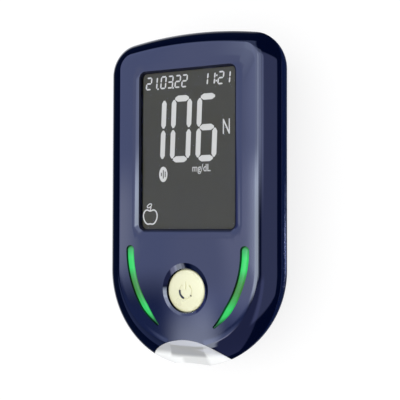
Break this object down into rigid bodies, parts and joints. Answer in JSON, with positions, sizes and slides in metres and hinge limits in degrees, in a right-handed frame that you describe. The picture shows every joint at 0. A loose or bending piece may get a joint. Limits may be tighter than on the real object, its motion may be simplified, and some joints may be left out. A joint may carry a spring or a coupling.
{
  "type": "blood glucose meter",
  "caption": "Hand-held blood glucose meter with a window over a dark display, a round power button, light bars, a strip port and a sliding battery door.",
  "frame": {"origin": "under the middle of the case, on the surface that the meter lies on", "axes": "+X to the right as the display is read, +Y towards the top end, +Z out of the display"},
  "size_m": [0.056, 0.094, 0.02],
  "materials": {
    "case_gloss": "high-gloss navy moulded plastic",
    "case_back": "navy moulded plastic, a little less glossy than the face",
    "window": "clear, faintly smoked pane",
    "display": "charcoal reversed liquid-crystal display with pale segments",
    "black_plastic": "matt black moulded plastic",
    "clear_guide": "milky light guide",
    "elastomer": "layered silicone connector strip",
    "board": "green solder mask",
    "chip": "moulded black package",
    "shield": "thin pressed sheet",
    "component_ceramic": "small ceramic components",
    "button_gold": "pale gold metallised, satin gloss",
    "light_bar": "milky green light guide, lit from behind",
    "led": "small surface-mounted lamp",
    "lens": "translucent white moulded lens",
    "connector_plastic": "grey high-temperature plastic",
    "contact_gold": "gold-plated spring fingers",
    "cell_jacket": "plain dark jacket, bare of print",
    "contact_steel": "bright nickel plating"
  },
  "bodies": {
    "case": {"front_cover": "case_gloss", "rear_cover": "case_back", "display_window": "window", "window_tape": "black_plastic", "lcd_glass": "display", "lcd_frame": "black_plastic", "backlight_guide": "clear_guide", "lcd_connector": "elastomer", "main_board": "board", "microcontroller": "chip", "analog_chip": "chip", "radio_module": "shield", "crystal": "shield", "board_parts": "component_ceramic", "buzzer": "chip", "tact_switch": "shield", "left_light_bar": "light_bar", "right_light_bar": "light_bar", "bar_leds": "led", "port_led": "led", "port_lens": "lens", "strip_connector": "connector_plastic", "strip_contacts": "contact_gold", "battery_tray": "black_plastic", "battery_left": "cell_jacket", "battery_right": "cell_jacket", "battery_springs": "contact_steel", "bridge_contact": "contact_steel", "terminal_contacts": "contact_steel", "case_screws": "contact_steel"},
    "power_button": {"button_cap": "button_gold", "tact_plunger": "black_plastic"},
    "door": {"battery_door": "case_back"}
  },
  "joints": [
    {"name": "button_press", "type": "slide", "parent": "case", "child": "power_button", "axis": [0, 0, -1], "range_m": [0, 0.0005], "stiffness_N_per_m": 3000},
    {"name": "door_slide", "type": "slide", "parent": "case", "child": "door", "axis": [0, 1, 0], "range_m": [0, 0.06]}
  ]
}
